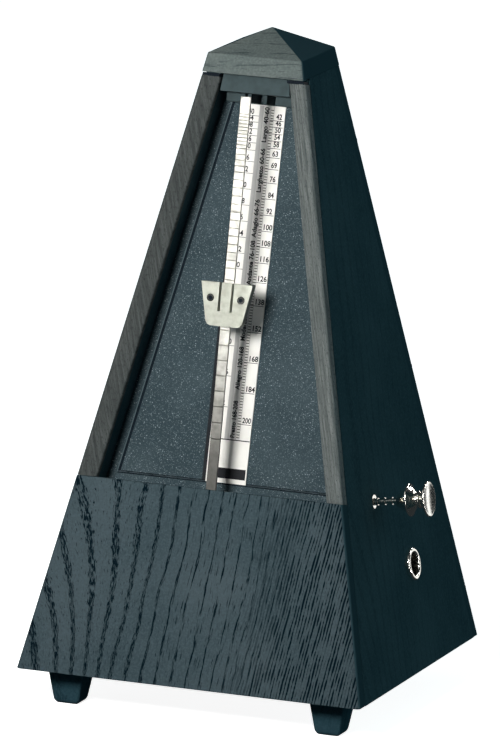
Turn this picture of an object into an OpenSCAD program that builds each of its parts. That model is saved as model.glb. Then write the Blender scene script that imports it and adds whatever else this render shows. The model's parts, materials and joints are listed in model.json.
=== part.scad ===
// Pyramid metronome: a tapered wooden case on three feet, a swinging pendulum with a sliding
// weight in front of a tempo scale, a spring-driven movement, and a bell with its pull rod.
// The case's front is the -Y side and the key side is +X. The origin is the middle of the
// base, on the surface that the feet stand on.

/* [Case] */
// Width and depth of the case at its lower edge
base_w = 118; // [116:0.5:121]
// Lean of all four sides from the vertical, in degrees
taper = 12.1; // [12:0.05:12.2]
// Height of the cap's lower edge above the lower edge of the case
cap_z = 193.5; // [192:0.5:195]
// Height of the cap's upright edge
cap_edge = 6; // [4:0.5:8]
// Height of the low pyramid on top of the cap
roof_h = 7.5; // [5:0.5:10]
// Height of the feet
foot_h = 12.4; // [10:0.1:14]
// Thickness of the side, back and bottom boards
board_t = 5; // [4.5:0.5:5.5]
// Thickness of the front panel and of the rails
front_t = 5.5; // [5.5:0.5:6]
// Length of the front panel along the slope
panel_s = 64.4; // [63.5:0.1:65]

/* [Front opening] */
// Width of each rail beside the opening
rail_w = 6.1; // [5.5:0.1:6.5]
// Depth of the face plate's front below the sloping front
plate_d = 16.6; // [16:0.1:17.5]
// Width of the tempo scale
scale_w = 13.8; // [12:0.1:15]

/* [Pendulum] */
// Width of the pendulum rod
rod_w = 3.4; // [3:0.1:3.6]
// Thickness of the pendulum rod
rod_t = 0.9; // [0.7:0.05:1]
// Forward lean of the rod from the slope of the case, in degrees
rod_lean = 3.03; // [3:0.01:3.1]
// Height of the sliding weight
weight_h = 14; // [12:0.5:15]
// Distance of the weight's top edge above the pivot
weight_at = 77.2; // [60:0.1:100]

/* [Side fittings] */
// Diameter of the bell pull's outer disc
knob_d = 11.6; // [10:0.1:12]
// Outer diameter of the ring around the key hole
ring_d = 10.8; // [10:0.1:12]
// How far the bell pull stands out of the side
pull_out = 19.2; // [18:0.1:20]

/* [Movement] */
// Teeth of the great wheel
great_teeth = 66; // [66:1:66]
// Teeth of the second pinion
second_leaves = 10; // [10:1:10]
// Teeth of the second wheel
second_teeth = 56; // [56:1:56]
// Teeth of the escape pinion
escape_leaves = 8; // [8:1:8]

/* [Hidden] */
$fn = 64;
half = base_w / 2;
slope = tan(taper);
board_x = board_t / cos(taper);
front_y = front_t / cos(taper);
big = 400;
wood = [0.22, 0.27, 0.31];
strip = [0.36, 0.38, 0.38];
brass = [0.72, 0.58, 0.32];
steel = [0.62, 0.63, 0.64];
chrome = [0.82, 0.82, 0.84];

// Half width of the case at height z above its lower edge
function hw(z) = half - z * slope;
// Place in the Y-Z plane of a point s up the sloping front and d below its surface
function front_at(s, d) = [-half + s * sin(taper) + d * cos(taper), s * cos(taper) - d * sin(taper)];
// Half width of the case at s up the slope and d below the front
function slope_hw(s, d) = hw(s * cos(taper) - d * sin(taper));

// Raises the case onto its feet
module on_feet() { translate([0, 0, foot_h]) children(); }
// An outline in the X-Z plane, carried through the whole depth
module through_y(points) {
  rotate([90, 0, 0]) linear_extrude(height = big, center = true) polygon(points);
}
// An outline in the Y-Z plane, carried through the whole width
module through_x(points) {
  rotate([90, 0, 90]) linear_extrude(height = big, center = true) polygon(points);
}
// The sloping front: X across, Y up the slope from the lower edge, Z outwards
module on_front() {
  translate([0, -half, foot_h]) rotate([90 - taper, 0, 0]) children();
}
// The sloping right side at height z: Z outwards along a line that rises by tilt degrees
module on_right(y, z, tilt) {
  translate([hw(z), y, z + foot_h]) rotate([0, 90 - tilt, 0]) children();
}
// The movement's own plane seen from +X: X is the row's Y, Y is up, Z is the row's X
module on_axle(at, x) {
  translate([x, at[0], at[1] + foot_h]) rotate([90, 0, 90]) children();
}

// ---- Case ----
side_y0 = function(z) -hw(z) + front_y + 0.02;
side_y1 = function(z) hw(z) - board_x;
module side_board() {
  intersection() {
    through_y([[hw(0) - board_x, 0], [hw(0), 0], [hw(cap_z), cap_z], [hw(cap_z) - board_x, cap_z]]);
    through_x([[side_y0(0), 0], [side_y1(0), 0], [side_y1(cap_z), cap_z], [side_y0(cap_z), cap_z]]);
  }
}
module left_side_board() { color(wood) on_feet() mirror([1, 0, 0]) side_board(); }
module right_side_board() {
  color(wood) difference() {
    on_feet() side_board();
    on_right(key_y, key_z, taper) cylinder(d = ferrule_d + 0.1, h = 40, center = true);
    on_right(pull_y, pull_z, pull_tilt) cylinder(d = bush_d + 0.1, h = 40, center = true);
  }
}
module back_board() {
  color(wood) on_feet() intersection() {
    through_y([[-hw(0), 0], [hw(0), 0], [hw(cap_z), cap_z], [-hw(cap_z), cap_z]]);
    through_x([[hw(0) - board_x, 0], [hw(0), 0], [hw(cap_z), cap_z], [hw(cap_z) - board_x, cap_z]]);
  }
}
// The panel's back is relieved where the pendulum rod passes behind its top edge
relief_w = 26;
relief_s = 37;
relief_d = 2.3;
module front_lower_panel() {
  color(wood) difference() {
    on_feet() intersection() {
      through_y([[-hw(0), 0], [hw(0), 0], [hw(80), 80], [-hw(80), 80]]);
      through_x([[-half, 0], [-half + front_y, 0], front_at(panel_s, front_t), front_at(panel_s, 0)]);
    }
    on_front() translate([-relief_w / 2, relief_s, -front_t - 1])
      cube([relief_w, panel_s, front_t + 1 - relief_d]);
  }
}
module bottom_board() {
  inner = function(z) hw(z) - board_x - 0.05;
  front = function(z) -hw(z) + front_y + 0.05;
  color(wood) difference() {
    on_feet() intersection() {
      through_y([[-inner(0), 0], [inner(0), 0], [inner(board_t), board_t], [-inner(board_t), board_t]]);
      through_x([[front(0), 0], [inner(0), 0], [inner(board_t), board_t], [front(board_t), board_t]]);
    }
    at_bottom_screws() screw_hole();
  }
}
// The cap is an upright-edged block under a low pyramid
module top_cap() {
  outline = [[-hw(cap_z), cap_z], [hw(cap_z), cap_z], [hw(cap_z + cap_edge), cap_z + cap_edge],
    [0, cap_z + cap_edge + roof_h], [-hw(cap_z + cap_edge), cap_z + cap_edge]];
  color(wood) on_feet() intersection() {
    through_y(outline);
    through_x(outline);
  }
}
// A rail's section at s up the slope: an eased outer corner, and a face that falls inwards
rail_ease = 1.4;
rail_front = 0.6;
rail_fall = 3;
rail_gap = 1;
function rail_ring(s) = [
  [slope_hw(s, front_t), s, -front_t],
  [slope_hw(s, rail_ease), s, -rail_ease],
  [slope_hw(s, 0) - rail_ease, s, -rail_front],
  [slope_hw(s, 0) - rail_w, s, -rail_fall],
  [slope_hw(s, 0) - rail_w, s, -front_t]];
module rail() {
  top = (cap_z - rail_gap) / cos(taper);
  on_front() polyhedron(
    points = concat(rail_ring(panel_s + 0.05), rail_ring(top)),
    faces = [[4, 3, 2, 1, 0], [5, 6, 7, 8, 9], [0, 1, 6, 5], [1, 2, 7, 6], [2, 3, 8, 7],
      [3, 4, 9, 8], [4, 0, 5, 9]]);
}
module right_rail() { color(strip) rail(); }
module left_rail() { color(strip) mirror([1, 0, 0]) rail(); }

// The face plate closes the opening; a thin groove runs round it inside its edge
plate_t = 1.8;
plate_s0 = 58;
plate_s1 = 199;
groove_in = 3.2;
groove_w = 0.7;
groove_s0 = 66.3;
module plate_outline(inset, s0, s1) {
  x0 = slope_hw(s0, plate_d) - board_x - 0.1 - inset;
  x1 = slope_hw(s1, plate_d) - board_x - 0.1 - inset;
  polygon([[-x0, s0], [x0, s0], [x1, s1], [-x1, s1]]);
}
module face_plate() {
  color([0.25, 0.3, 0.34]) on_front() difference() {
    translate([0, 0, -plate_d - plate_t]) linear_extrude(height = plate_t)
      plate_outline(0, plate_s0, plate_s1);
    translate([0, 0, -plate_d - 0.5]) linear_extrude(height = 1) difference() {
      plate_outline(groove_in, groove_s0, plate_s1 - 3);
      plate_outline(groove_in + groove_w, groove_s0 + groove_w, plate_s1 - 3 - groove_w);
    }
  }
}
scale_s0 = 66.8;
scale_s1 = 189.4;
scale_t = 0.5;
module scale_plate() {
  color([0.92, 0.91, 0.88]) on_front() translate([-scale_w / 2, scale_s0, -plate_d])
    cube([scale_w, scale_s1 - scale_s0, scale_t]);
}
// The catch under the cap holds the rod's top when the metronome is put away
catch_w = 23.8;
catch_s0 = 192.4;
catch_s1 = 198.1;
cheek_s0 = 189.5;
cheek_x = 5.2;
finger_x = 1.9;
finger_w = 1.4;
module pendulum_catch() {
  top_w = slope_hw(catch_s1, 0) - rail_w - 0.1;
  color([0.3, 0.34, 0.35]) on_front() {
    translate([0, 0, -plate_d + scale_t + 0.1]) linear_extrude(height = plate_d - scale_t - 4.1)
      polygon([[-catch_w / 2, catch_s0], [catch_w / 2, catch_s0], [top_w, catch_s1], [-top_w, catch_s1]]);
    for (side = [0, 1]) mirror([side, 0, 0])
      translate([cheek_x, cheek_s0, -plate_d + scale_t + 0.1])
        cube([catch_w / 2 - 0.4 - cheek_x, catch_s0 - cheek_s0, 6]);
    for (side = [0, 1]) mirror([side, 0, 0])
      translate([finger_x, cheek_s0, -plate_d + scale_t + 0.1])
        cube([finger_w, catch_s0 - cheek_s0, 9]);
  }
}
// Feet: tapered blocks with eased lower edges
foot_top = 12.4;
foot_low = 8.6;
foot_in = 7.9;
foot_ease = 0.9;
module foot(sx, sy) {
  top = foot_top / 2;
  low = foot_low / 2;
  outline = [[-top, foot_h], [-low, foot_ease], [-low + foot_ease, 0], [low - foot_ease, 0],
    [low, foot_ease], [top, foot_h]];
  place = half - foot_in - top;
  color(wood) translate([sx * place, sy * place, 0]) intersection() {
    through_y(outline);
    through_x(outline);
  }
}
module foot_front_left() { foot(-1, -1); }
module foot_front_right() { foot(1, -1); }
module foot_rear() { foot(0, 1); }

// Countersunk screws: Z is the screw's axis, with the head's face at zero
screw_d = 2.2;
screw_head = 4.6;
module screw_shape(grow, len) {
  rotate_extrude($fn = 32) polygon([[0, 0], [screw_head / 2 + grow, 0],
    [screw_d / 2 + grow, -1.3 - grow], [screw_d / 2 + grow, -len], [0, -len]]);
}
module screw_hole() { screw_shape(0.05, 30); }
module at_bottom_screws() {
  for (x = [-30, 30], y = [-30, 30]) translate([x, y, foot_h - 0.001]) rotate([180, 0, 0]) children();
}
module bottom_screws() {
  color(steel) at_bottom_screws() difference() {
    screw_shape(0, board_t - 0.2);
    translate([-3, -0.3, -0.5]) cube([6, 0.6, 1]);
  }
}
// Round-headed screws hold the back board to the edges of the sides
module back_screws() {
  color(steel) for (side = [-1, 1], z = [16, 92, 168])
    translate([side * (hw(z) - board_x / 2), hw(z), z + foot_h]) rotate([-90 + taper, 0, 0])
      difference() {
        intersection() {
          cylinder(d = 3.8, h = 1.2, $fn = 32);
          translate([0, 0, -1.6]) sphere(d = 5.6, $fn = 32);
        }
        translate([-3, -0.25, 0.5]) cube([6, 0.5, 1]);
      }
}

// ---- Side fittings ----
key_y = 8;
key_z = 33.4;
ferrule_d = 8.8;
key_hole = 7.4;
module key_ferrule() {
  color(chrome) on_right(key_y, key_z, taper) rotate_extrude($fn = 64)
    polygon([[key_hole / 2, -board_t - 0.4], [ferrule_d / 2, -board_t - 0.4], [ferrule_d / 2, 0],
      [ring_d / 2, 0], [ring_d / 2, 0.9], [ring_d / 2 - 0.45, 1.4], [key_hole / 2 + 0.5, 1.4],
      [key_hole / 2, 0.9]]);
}
pull_y = -15.5;
pull_z = 58.2;
pull_tilt = 9;
pull_d = 2.4;
pull_in = 25;
bush_d = 4.6;
module pull_rod_bush() {
  color(chrome) on_right(pull_y, pull_z, pull_tilt) rotate_extrude($fn = 48)
    polygon([[pull_d / 2 + 0.05, -9], [bush_d / 2, -9], [bush_d / 2, -1], [bush_d / 2, -0.1],
      [pull_d / 2 + 0.05, -0.1]]);
}
notch_w = 1;
notch_step = 2.5;
module bell_pull_rod() {
  color(chrome) on_right(pull_y, pull_z, pull_tilt) difference() {
    translate([0, 0, -pull_in]) cylinder(d = pull_d, h = pull_in + pull_out - 9.2);
    for (i = [0:3]) translate([-2, pull_d / 2 - 0.45, -19.5 + i * notch_step]) cube([4, 2, notch_w]);
    for (i = [0:2]) translate([0, 0, 1.2 + i * notch_step]) rotate_extrude($fn = 32)
      polygon([[pull_d / 2 - 0.25, 0], [pull_d / 2 + 1, 0], [pull_d / 2 + 1, 0.8],
        [pull_d / 2 - 0.25, 0.8]]);
  }
}
flare_d = 10.8;
module bell_pull_knob() {
  e = pull_out;
  color(chrome) on_right(pull_y, pull_z, pull_tilt) rotate_extrude($fn = 64) polygon([
    [0, e - 9.15], [1.6, e - 9.15], [1.6, e - 10.8], [2.1, e - 11.1], [flare_d / 2 - 0.4, e - 7.5],
    [flare_d / 2, e - 7.1], [flare_d / 2 - 0.5, e - 6.6], [3.2, e - 5.4], [2.2, e - 4.7],
    [2.2, e - 4.3], [2.9, e - 4], [2.9, e - 3.4], [2.2, e - 3.1], [2.3, e - 2.4],
    [knob_d / 2 - 0.5, e - 1.2], [knob_d / 2, e - 0.6], [knob_d / 2 - 0.4, e], [3.5, e - 0.4],
    [0, e - 0.6]]);
}
// A leaf spring on the side board rides on the notched end of the pull rod
module pull_detent_spring() {
  color(steel) on_right(pull_y, pull_z, pull_tilt) {
    translate([-1.5, 1.75, -19.4]) cube([3, 0.35, 10]);
    translate([-1.5, 1.25, -19.4]) cube([3, 0.5, 0.7]);
    translate([-1.5, 1.75, -11.4]) cube([3, 2.6, 2.2]);
    translate([-1.5, 2.45, -9.2]) cube([3, 1.9, 4.1]);
  }
}

// ---- Movement ----
plate_x = 18;
plate_thick = 2;
wheel_m = 0.6;
small_m = 0.5;
barrel = [key_y, key_z];
great_angle = 200;
great_gap = wheel_m * (great_teeth + second_leaves) / 2 + 0.15;
second = barrel + great_gap * [cos(great_angle), sin(great_angle)];
escape_angle = 135;
escape_gap = small_m * (second_teeth + escape_leaves) / 2 + 0.12;
escape = second + escape_gap * [cos(escape_angle), sin(escape_angle)];
pillars = [[-31.5, 11], [-31.5, 27], [29, 11], [29, 47]];
plate_lo = [-34, board_t];
plate_hi = [33, 50];
arbor_d = 2.4;
pivot_d = 1.6;
hammer_at = barrel + [-4, -14.3];
bell_at = barrel + [-4, 13];
click_at = barrel + [-12, 10.5];
running = 0.05;

module movement_plate() {
  translate([plate_x, plate_lo[0], plate_lo[1] + foot_h])
    cube([plate_thick, plate_hi[0] - plate_lo[0], plate_hi[1] - plate_lo[1]]);
  translate([plate_x, -10, board_t + foot_h]) cube([13, 20, plate_thick]);
}
module plate_holes() {
  on_axle(barrel, 0) cylinder(d = 4 + 2 * running, h = 100, center = true);
  on_axle(second, 0) cylinder(d = pivot_d + 2 * running, h = 100, center = true);
  on_axle(escape, 0) cylinder(d = pivot_d + 2 * running, h = 100, center = true);
  for (p = pillars) on_axle(p, 0) cylinder(d = 2.05, h = 100, center = true, $fn = 24);
}
module flange_hole() {
  translate([plate_x + 8, 0, board_t + foot_h - 0.5]) cylinder(d = 2.3, h = 4, $fn = 24);
}
module movement_right_plate() {
  color(brass) difference() {
    movement_plate();
    plate_holes();
    flange_hole();
    on_axle(click_at, 0) cylinder(d = 2.05, h = 100, center = true, $fn = 24);
  }
}
module movement_left_plate() {
  color(brass) difference() {
    mirror([1, 0, 0]) movement_plate();
    plate_holes();
    mirror([1, 0, 0]) flange_hole();
    for (p = [hammer_at, bell_at]) on_axle(p, 0) cylinder(d = 2.05, h = 100, center = true, $fn = 24);
  }
}
module movement_pillars() {
  color(brass) for (p = pillars) on_axle(p, 0) cylinder(d = 4, h = 2 * plate_x, center = true, $fn = 32);
}
// A small screw whose head rests on a plate at x, with its shank inwards
module plate_screw(at, x, side) {
  on_axle(at, x) mirror([0, 0, side]) difference() {
    union() {
      cylinder(d = 3.6, h = 1.1, $fn = 32);
      translate([0, 0, -plate_thick]) cylinder(d = 2, h = plate_thick, $fn = 24);
    }
    translate([-3, -0.25, 0.6]) cube([6, 0.5, 1]);
  }
}
module pillar_screws() {
  color(steel) for (p = pillars) {
    plate_screw(p, plate_x + plate_thick, 0);
    plate_screw(p, -plate_x - plate_thick, 1);
  }
}
module movement_screws() {
  color(steel) for (side = [-1, 1]) translate([side * (plate_x + 8), 0, board_t + plate_thick + foot_h])
    difference() {
      union() {
        cylinder(d = 4, h = 1.2, $fn = 32);
        translate([0, 0, -plate_thick]) cylinder(d = 2.2, h = plate_thick, $fn = 24);
      }
      translate([-3, -0.3, 0.7]) cube([6, 0.6, 1]);
    }
}
// A spur wheel: straight-flanked teeth, one of them centred on the angle "at"
module gear(teeth, m, thick, at, tooth) {
  pitch = m * teeth / 2;
  root = pitch - 1.15 * m;
  tip = pitch + 0.85 * m;
  step = 360 / teeth;
  w = step * tooth;
  linear_extrude(height = thick) polygon([for (i = [0:teeth - 1]) let (c = at + i * step)
    each [for (p = [[root, -0.62 * w], [pitch, -0.5 * w], [tip, -0.2 * w], [tip, 0.2 * w],
      [pitch, 0.5 * w], [root, 0.62 * w]]) p[0] * [cos(c + p[1]), sin(c + p[1])]]]);
}
module ring_cut(d, thick) { translate([0, 0, -1]) cylinder(d = d, h = thick + 2); }
barrel_r = 17;
barrel_x = -1;
barrel_l = 12;
module mainspring_barrel() {
  color(brass) difference() {
    union() {
      on_axle(barrel, barrel_x) cylinder(r = barrel_r, h = barrel_l);
      on_axle(barrel, barrel_x - 2) gear(great_teeth, wheel_m, 2, great_angle, 0.42);
    }
    on_axle(barrel, barrel_x) cylinder(r = barrel_r - 1.2, h = barrel_l + 1);
    on_axle(barrel, -10) cylinder(d = 4 + 2 * running, h = 40);
  }
}
module barrel_cover() {
  color(brass) difference() {
    on_axle(barrel, barrel_x + barrel_l) cylinder(r = barrel_r, h = 1.2);
    on_axle(barrel, 0) cylinder(d = 4 + 2 * running, h = 40);
  }
}
// The mainspring: a flat spiral from near the arbor out to the barrel's wall
spring_turns = 6;
spring_r0 = 4.2;
spring_pitch = 1.8;
spring_t = 0.45;
function spiral(r) = [for (i = [0:spring_turns * 24]) let (a = i * 15, q = r + spring_pitch * a / 360)
  q * [cos(a), sin(a)]];
module mainspring() {
  inner = spiral(spring_r0);
  outer = spiral(spring_r0 + spring_t);
  color([0.3, 0.34, 0.42]) on_axle(barrel, barrel_x + 0.8) linear_extrude(height = barrel_l - 1.6)
    polygon(concat(inner, [for (i = [len(outer) - 1:-1:0]) outer[i]]));
}
arbor_end = 45;
ratchet_x = plate_x + plate_thick + 0.4;
module winding_arbor() {
  color(steel) {
    on_axle(barrel, -plate_x - plate_thick) cylinder(d = 4, h = 2 * plate_x + 2 * plate_thick);
    on_axle(barrel, plate_x + plate_thick) intersection() {
      cylinder(d = 4, h = arbor_end - plate_x - plate_thick);
      translate([-1.5, -1.5, 0]) cube([3, 3, 40]);
    }
  }
}
// A saw-toothed wheel; the click hooks behind one of its upright tooth faces
ratchet_n = 24;
ratchet_r = 8;
ratchet_root = 6.9;
click_angle = 105;
module ratchet_wheel() {
  step = 360 / ratchet_n;
  color(steel) on_axle(barrel, ratchet_x) difference() {
    linear_extrude(height = 1.8) polygon([for (i = [0:ratchet_n - 1]) let (c = click_angle + 4 + i * step)
      each [ratchet_root * [cos(c), sin(c)], ratchet_r * [cos(c + 0.8), sin(c + 0.8)]]]);
    translate([-1.52, -1.52, -1]) cube([3.04, 3.04, 4]);
  }
}
click_tip = barrel + 7.75 * [cos(click_angle), sin(click_angle)];
click_elbow = barrel + 10 * [cos(click_angle), sin(click_angle)];
module click() {
  color(steel) on_axle([0, 0], ratchet_x) linear_extrude(height = 1.6) difference() {
    union() {
      hull() {
        translate(click_at) circle(r = 2.2, $fn = 32);
        translate(click_elbow) circle(r = 0.6, $fn = 32);
      }
      hull() {
        translate(click_elbow) circle(r = 0.6, $fn = 32);
        translate(click_tip) circle(r = 0.3, $fn = 32);
      }
    }
    translate(click_at) circle(d = 2.1, $fn = 32);
  }
}
module click_screw() {
  color(steel) on_axle(click_at, 0) {
    translate([0, 0, plate_x]) cylinder(d = 2, h = ratchet_x + 1.65 - plate_x, $fn = 32);
    translate([0, 0, ratchet_x + 1.65]) cylinder(d = 3.6, h = 1, $fn = 32);
  }
}
module click_spring() {
  color(steel) on_axle(click_at, plate_x + plate_thick) {
    translate([-9, 2.7, 0]) cube([13, 0.3, 2]);
    translate([-9, 1.2, 0]) cube([3, 3, 2]);
  }
}
// An arbor with its two thinner pivots
module arbor(at, left, right) {
  on_axle(at, -plate_x + 0.3) cylinder(d = arbor_d, h = 2 * plate_x - 0.6);
  on_axle(at, -left) cylinder(d = pivot_d, h = left + right);
}
module second_arbor() {
  color(steel) {
    arbor(second, 25.5, plate_x + plate_thick);
    on_axle(second, -5) gear(second_leaves, wheel_m, 6, great_angle + 180 + 180 / second_leaves, 0.32);
  }
}
module second_wheel() {
  color(brass) on_axle(second, -9) difference() {
    gear(second_teeth, small_m, 1.5, escape_angle, 0.42);
    ring_cut(arbor_d, 1.5);
    for (a = [0:72:288]) rotate(a) translate([8, 0, -1]) cylinder(d = 5, h = 4, $fn = 32);
  }
}
// Four lobes on the second arbor's outer end lift the hammer's tail
module bell_cam() {
  color(brass) on_axle(second, -24.5) difference() {
    union() {
      cylinder(r = 3.6, h = 2);
      for (a = [0:90:270]) rotate(a) translate([3, -0.9, 0]) cube([2.4, 1.8, 2]);
    }
    ring_cut(pivot_d, 2);
  }
}
module escape_arbor() {
  color(steel) {
    arbor(escape, plate_x + plate_thick, plate_x + plate_thick);
    on_axle(escape, -11) gear(escape_leaves, small_m, 5, escape_angle + 180 + 180 / escape_leaves, 0.32);
  }
}
escape_r = 8.5;
escape_n = 20;
module escape_wheel() {
  step = 360 / escape_n;
  color(brass) on_axle(escape, -0.75) difference() {
    linear_extrude(height = 1.5) polygon([for (i = [0:escape_n - 1]) let (c = i * step)
      each [(escape_r - 2) * [cos(c), sin(c)], escape_r * [cos(c + 1.5), sin(c + 1.5)],
        escape_r * [cos(c + 3), sin(c + 3)], (escape_r - 2) * [cos(c + 9), sin(c + 9)]]]);
    ring_cut(arbor_d, 1.5);
    for (a = [0:90:270]) rotate(a) translate([3.9, 0, -1]) cylinder(d = 2.6, h = 4, $fn = 32);
  }
}

// ---- Pendulum ----
pivot_s = 54;
rod_foot_s = 66;
rod_foot_d = 3;
pivot_dep = rod_foot_d + (rod_foot_s - pivot_s) * tan(rod_lean);
// The pendulum's own frame: the pivot at zero, Y up the rod, Z towards the front
module on_pendulum() {
  on_front() translate([0, pivot_s, -pivot_dep]) rotate([rod_lean, 0, 0]) children();
}
shaft_d = 2;
bridge_z = -10.2;
bridge_t = 1.5;
module bridge_ear() {
  translate([plate_x + plate_thick, -8, bridge_z - 7]) cube([1.5, 6, 7 + bridge_t]);
}
module pendulum_front_bridge() {
  color(brass) on_pendulum() difference() {
    union() {
      translate([-plate_x - plate_thick, -8, bridge_z]) cube([2 * (plate_x + plate_thick), 13, bridge_t]);
      bridge_ear();
      mirror([1, 0, 0]) bridge_ear();
    }
    cylinder(d = shaft_d + 2 * running, h = 60, center = true);
  }
}
rear_z = -30;
module pendulum_rear_bridge() {
  color(brass) on_pendulum() difference() {
    translate([-plate_x, -4, rear_z]) cube([2 * plate_x, 7, bridge_t]);
    cylinder(d = shaft_d + 2 * running, h = 80, center = true);
  }
}
module pendulum_arbor() {
  color(steel) on_pendulum() translate([0, 0, rear_z - 1.5])
    cylinder(d = shaft_d, h = 1.5 - rear_z + rod_t / 2);
}
pallet_z = -22.4;
module pallets() {
  color(steel) on_pendulum() difference() {
    union() {
      translate([-6.5, -2.8, pallet_z]) cube([13, 5, 3]);
      for (side = [0, 1]) mirror([side, 0, 0]) translate([5, -9, pallet_z + 0.5]) cube([1.5, 8, 2]);
    }
    cylinder(d = shaft_d, h = 80, center = true);
  }
}
hub_l = 6;
module pendulum_hub() {
  color(brass) on_pendulum() difference() {
    translate([0, 0, -rod_t / 2 - hub_l]) cylinder(d = 9, h = hub_l);
    cylinder(d = shaft_d, h = 80, center = true);
    translate([-2.5, -10, -rod_t / 2 - 4.6]) cube([5, 10 + 3, 1.5]);
  }
}
stem_z = -rod_t / 2 - 4.6;
module bob_stem() {
  color(steel) on_pendulum() difference() {
    translate([-2.5, -36, stem_z]) cube([5, 39, 1.5]);
    cylinder(d = shaft_d, h = 80, center = true);
  }
}
bob_w = 30;
bob_h = 20;
bob_t = 8;
bob_y = -41;
module pendulum_bob() {
  r = 3;
  color(brass) on_pendulum() difference() {
    translate([0, bob_y, stem_z + 1.5 - bob_t]) linear_extrude(height = bob_t) union() {
      translate([-bob_w / 2 + r, 0]) square([bob_w - 2 * r, bob_h]);
      translate([-bob_w / 2, r]) square([bob_w, bob_h - 2 * r]);
      for (x = [-bob_w / 2 + r, bob_w / 2 - r], y = [r, bob_h - r]) translate([x, y]) circle(r = r);
    }
    translate([-2.5, -36, stem_z]) cube([5, 39, 2]);
  }
}
// Tempo marks follow a pendulum's law: beats squared = gain (balance - r) / (inertia + r r)
law_gain = 4.26e6;
law_balance = 147.4;
law_inertia = 10390;
law_shift = 4.8;
tempos = concat([for (n = [40:2:60]) n], [for (n = [63:3:72]) n], [for (n = [76:4:120]) n],
  [for (n = [126:6:144]) n], [for (n = [152:8:208]) n]);
function beats(r) = sqrt(law_gain * max(law_balance - r, 0) / (law_inertia + r * r));
function place(n, lo = 0, hi = 147, left = 24) = left == 0 ? (lo + hi) / 2 - law_shift :
  beats((lo + hi) / 2) > n ? place(n, (lo + hi) / 2, hi, left - 1) : place(n, lo, (lo + hi) / 2, left - 1);
rod_top = 137.3;
module pendulum_rod() {
  color([0.8, 0.79, 0.77]) on_pendulum() difference() {
    translate([-rod_w / 2, -3.2, -rod_t / 2]) cube([rod_w, rod_top + 3.2, rod_t]);
    cylinder(d = shaft_d, h = 80, center = true);
    for (n = tempos) translate([rod_w / 2 - 0.25, place(n) - 0.2, -2]) cube([1, 0.4, 4]);
  }
}
// The weight: a keystone block round the rod, with two slits that leave a tongue between them
weight_top = 17.6;
weight_low = 12;
weight_front = 2.4;
weight_back = -0.5;
weight_gap = 0.08;
leaf_t = 0.35;
rivet_x = 5.2;
rivet_y = weight_at - 5.1;
slit_l = 9.3;
weight_ease = 1.4;
module weight_outline() {
  low = weight_at - weight_h;
  side = (weight_top - weight_low) / 2 / weight_h;
  polygon([[-weight_top / 2, weight_at], [-weight_low / 2 - side * weight_ease, low + weight_ease],
    [-weight_low / 2 + 0.4, low + 0.4], [-weight_low / 2 + weight_ease, low],
    [weight_low / 2 - weight_ease, low], [weight_low / 2 - 0.4, low + 0.4],
    [weight_low / 2 + side * weight_ease, low + weight_ease], [weight_top / 2, weight_at]]);
}
module rod_way() {
  translate([-rod_w / 2 - weight_gap, 0, -rod_t])
    cube([rod_w + 2 * weight_gap, big, 1.5 * rod_t + weight_gap]);
}
module sliding_weight() {
  color([0.75, 0.77, 0.75]) on_pendulum() difference() {
    translate([0, 0, weight_back]) linear_extrude(height = weight_front - weight_back) weight_outline();
    rod_way();
    for (x = [-2.5, 1.7]) translate([x, weight_at - slit_l, 0]) cube([0.8, 20, 5]);
    for (x = [-rivet_x, rivet_x]) translate([x, rivet_y, 0])
      cylinder(r = 1.3, h = 20, center = true, $fn = 32);
  }
}
module weight_rivets() {
  color(steel) on_pendulum() for (x = [-rivet_x, rivet_x]) translate([x, rivet_y, weight_back])
    difference() {
      cylinder(r = 1.25, h = weight_front - weight_back + 0.15, $fn = 32);
      translate([0, 0, weight_front - weight_back - 1]) cylinder(r = 0.65, h = 3, $fn = 32);
    }
}
// A thin leaf across the weight's back holds it on the rod
module weight_spring() {
  color(steel) on_pendulum() translate([-3.4, weight_at - weight_h + 2.5, weight_back - leaf_t])
    cube([6.8, weight_h - 5, leaf_t]);
}

// ---- Bell ----
bell_r = 14;
module bell() {
  color(brass) on_axle(bell_at, -27) mirror([0, 0, 1]) difference() {
    rotate_extrude($fn = 72) polygon(concat(
      [for (a = [0:10:70]) [bell_r * cos(a), 9.5 * sin(a)]], [[1.1, 9.4]], [[1.1, 8.6]],
      [for (a = [70:-10:0]) [(bell_r - 0.9) * cos(a), 8.7 * sin(a)]]));
  }
}
module bell_post() {
  color(steel) on_axle(bell_at, -38) {
    cylinder(d = 2, h = 20, $fn = 32);
    translate([0, 0, 2.5]) cylinder(d = 4, h = 38 - plate_x - plate_thick - 2.5, $fn = 32);
  }
}
module bell_nut() {
  color(steel) on_axle(bell_at, -38) difference() {
    cylinder(d = 4.6, h = 1.5, $fn = 6);
    translate([0, 0, -1]) cylinder(d = 2, h = 4, $fn = 32);
  }
}
hammer_x = -24;
module hammer_stud() {
  color(steel) on_axle(hammer_at, 0) {
    translate([0, 0, -25.6]) cylinder(d = 2, h = 25.6 - plate_x, $fn = 32);
    translate([0, 0, -26.4]) cylinder(d = 3.4, h = 0.8, $fn = 32);
    translate([0, 0, hammer_x + 2]) cylinder(d = 3.4, h = -plate_x - plate_thick - hammer_x - 2, $fn = 32);
  }
}
tail_drop = 6.4;
head_angle = 230;
head_gap = 17.2;
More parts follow.
